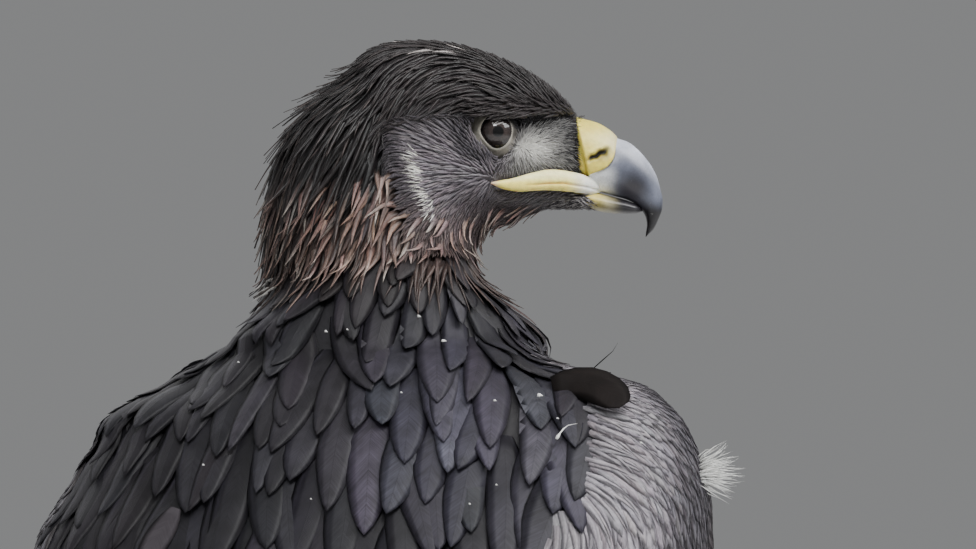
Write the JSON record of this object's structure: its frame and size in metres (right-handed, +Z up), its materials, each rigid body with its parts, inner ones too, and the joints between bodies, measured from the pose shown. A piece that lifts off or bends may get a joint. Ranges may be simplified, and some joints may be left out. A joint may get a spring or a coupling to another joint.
{
  "type": "golden eagle",
  "caption": "Life-size still model of a young golden eagle standing upright on the floor with folded wings, its head turned to its right.",
  "frame": {"origin": "on the floor, under the middle of the whole bird's bounding box", "axes": "+Z up; the bird's body faces -Y, so its left side is +X and its tail is towards +Y"},
  "size_m": [0.2884, 0.5478, 0.5713],
  "materials": {
    "plumage": "dark brown-black body feathers with a faint violet gloss and paler edges",
    "nape": "pointed hackles, dark brown with paler rufous tips",
    "wing_coverts": "grey-brown wing coverts in fine overlapping rows",
    "flight_feathers": "stiff blackish flight feathers with a low gloss",
    "tail_feathers": "dark tail feathers, whitish towards their bases as in a young bird",
    "shank_feathers": "short close pale brown feathers down to the toes",
    "yellow_skin": "yellow cere, gape and scaled toes, satin",
    "horn": "blue-grey horn darkening to a black hook, satin",
    "claw": "black horn, smooth",
    "eye": "dark brown iris behind a wet clear cornea"
  },
  "bodies": {
    "root": {"head": "plumage", "cere": "yellow_skin", "upper_bill": "horn", "lower_bill": "horn", "left_eye": "eye", "right_eye": "eye", "neck": "nape", "trunk": "plumage", "tail": "tail_feathers", "left_wing": "wing_coverts", "left_primaries": "flight_feathers", "left_thigh": "plumage", "left_tarsus": "shank_feathers", "left_foot": "yellow_skin", "left_inner_claw": "claw", "left_middle_claw": "claw", "left_outer_claw": "claw", "left_hind_claw": "claw", "right_wing": "wing_coverts", "right_primaries": "flight_feathers", "right_thigh": "plumage", "right_tarsus": "shank_feathers", "right_foot": "yellow_skin", "right_inner_claw": "claw", "right_middle_claw": "claw", "right_outer_claw": "claw", "right_hind_claw": "claw"}
  },
  "joints": []
}
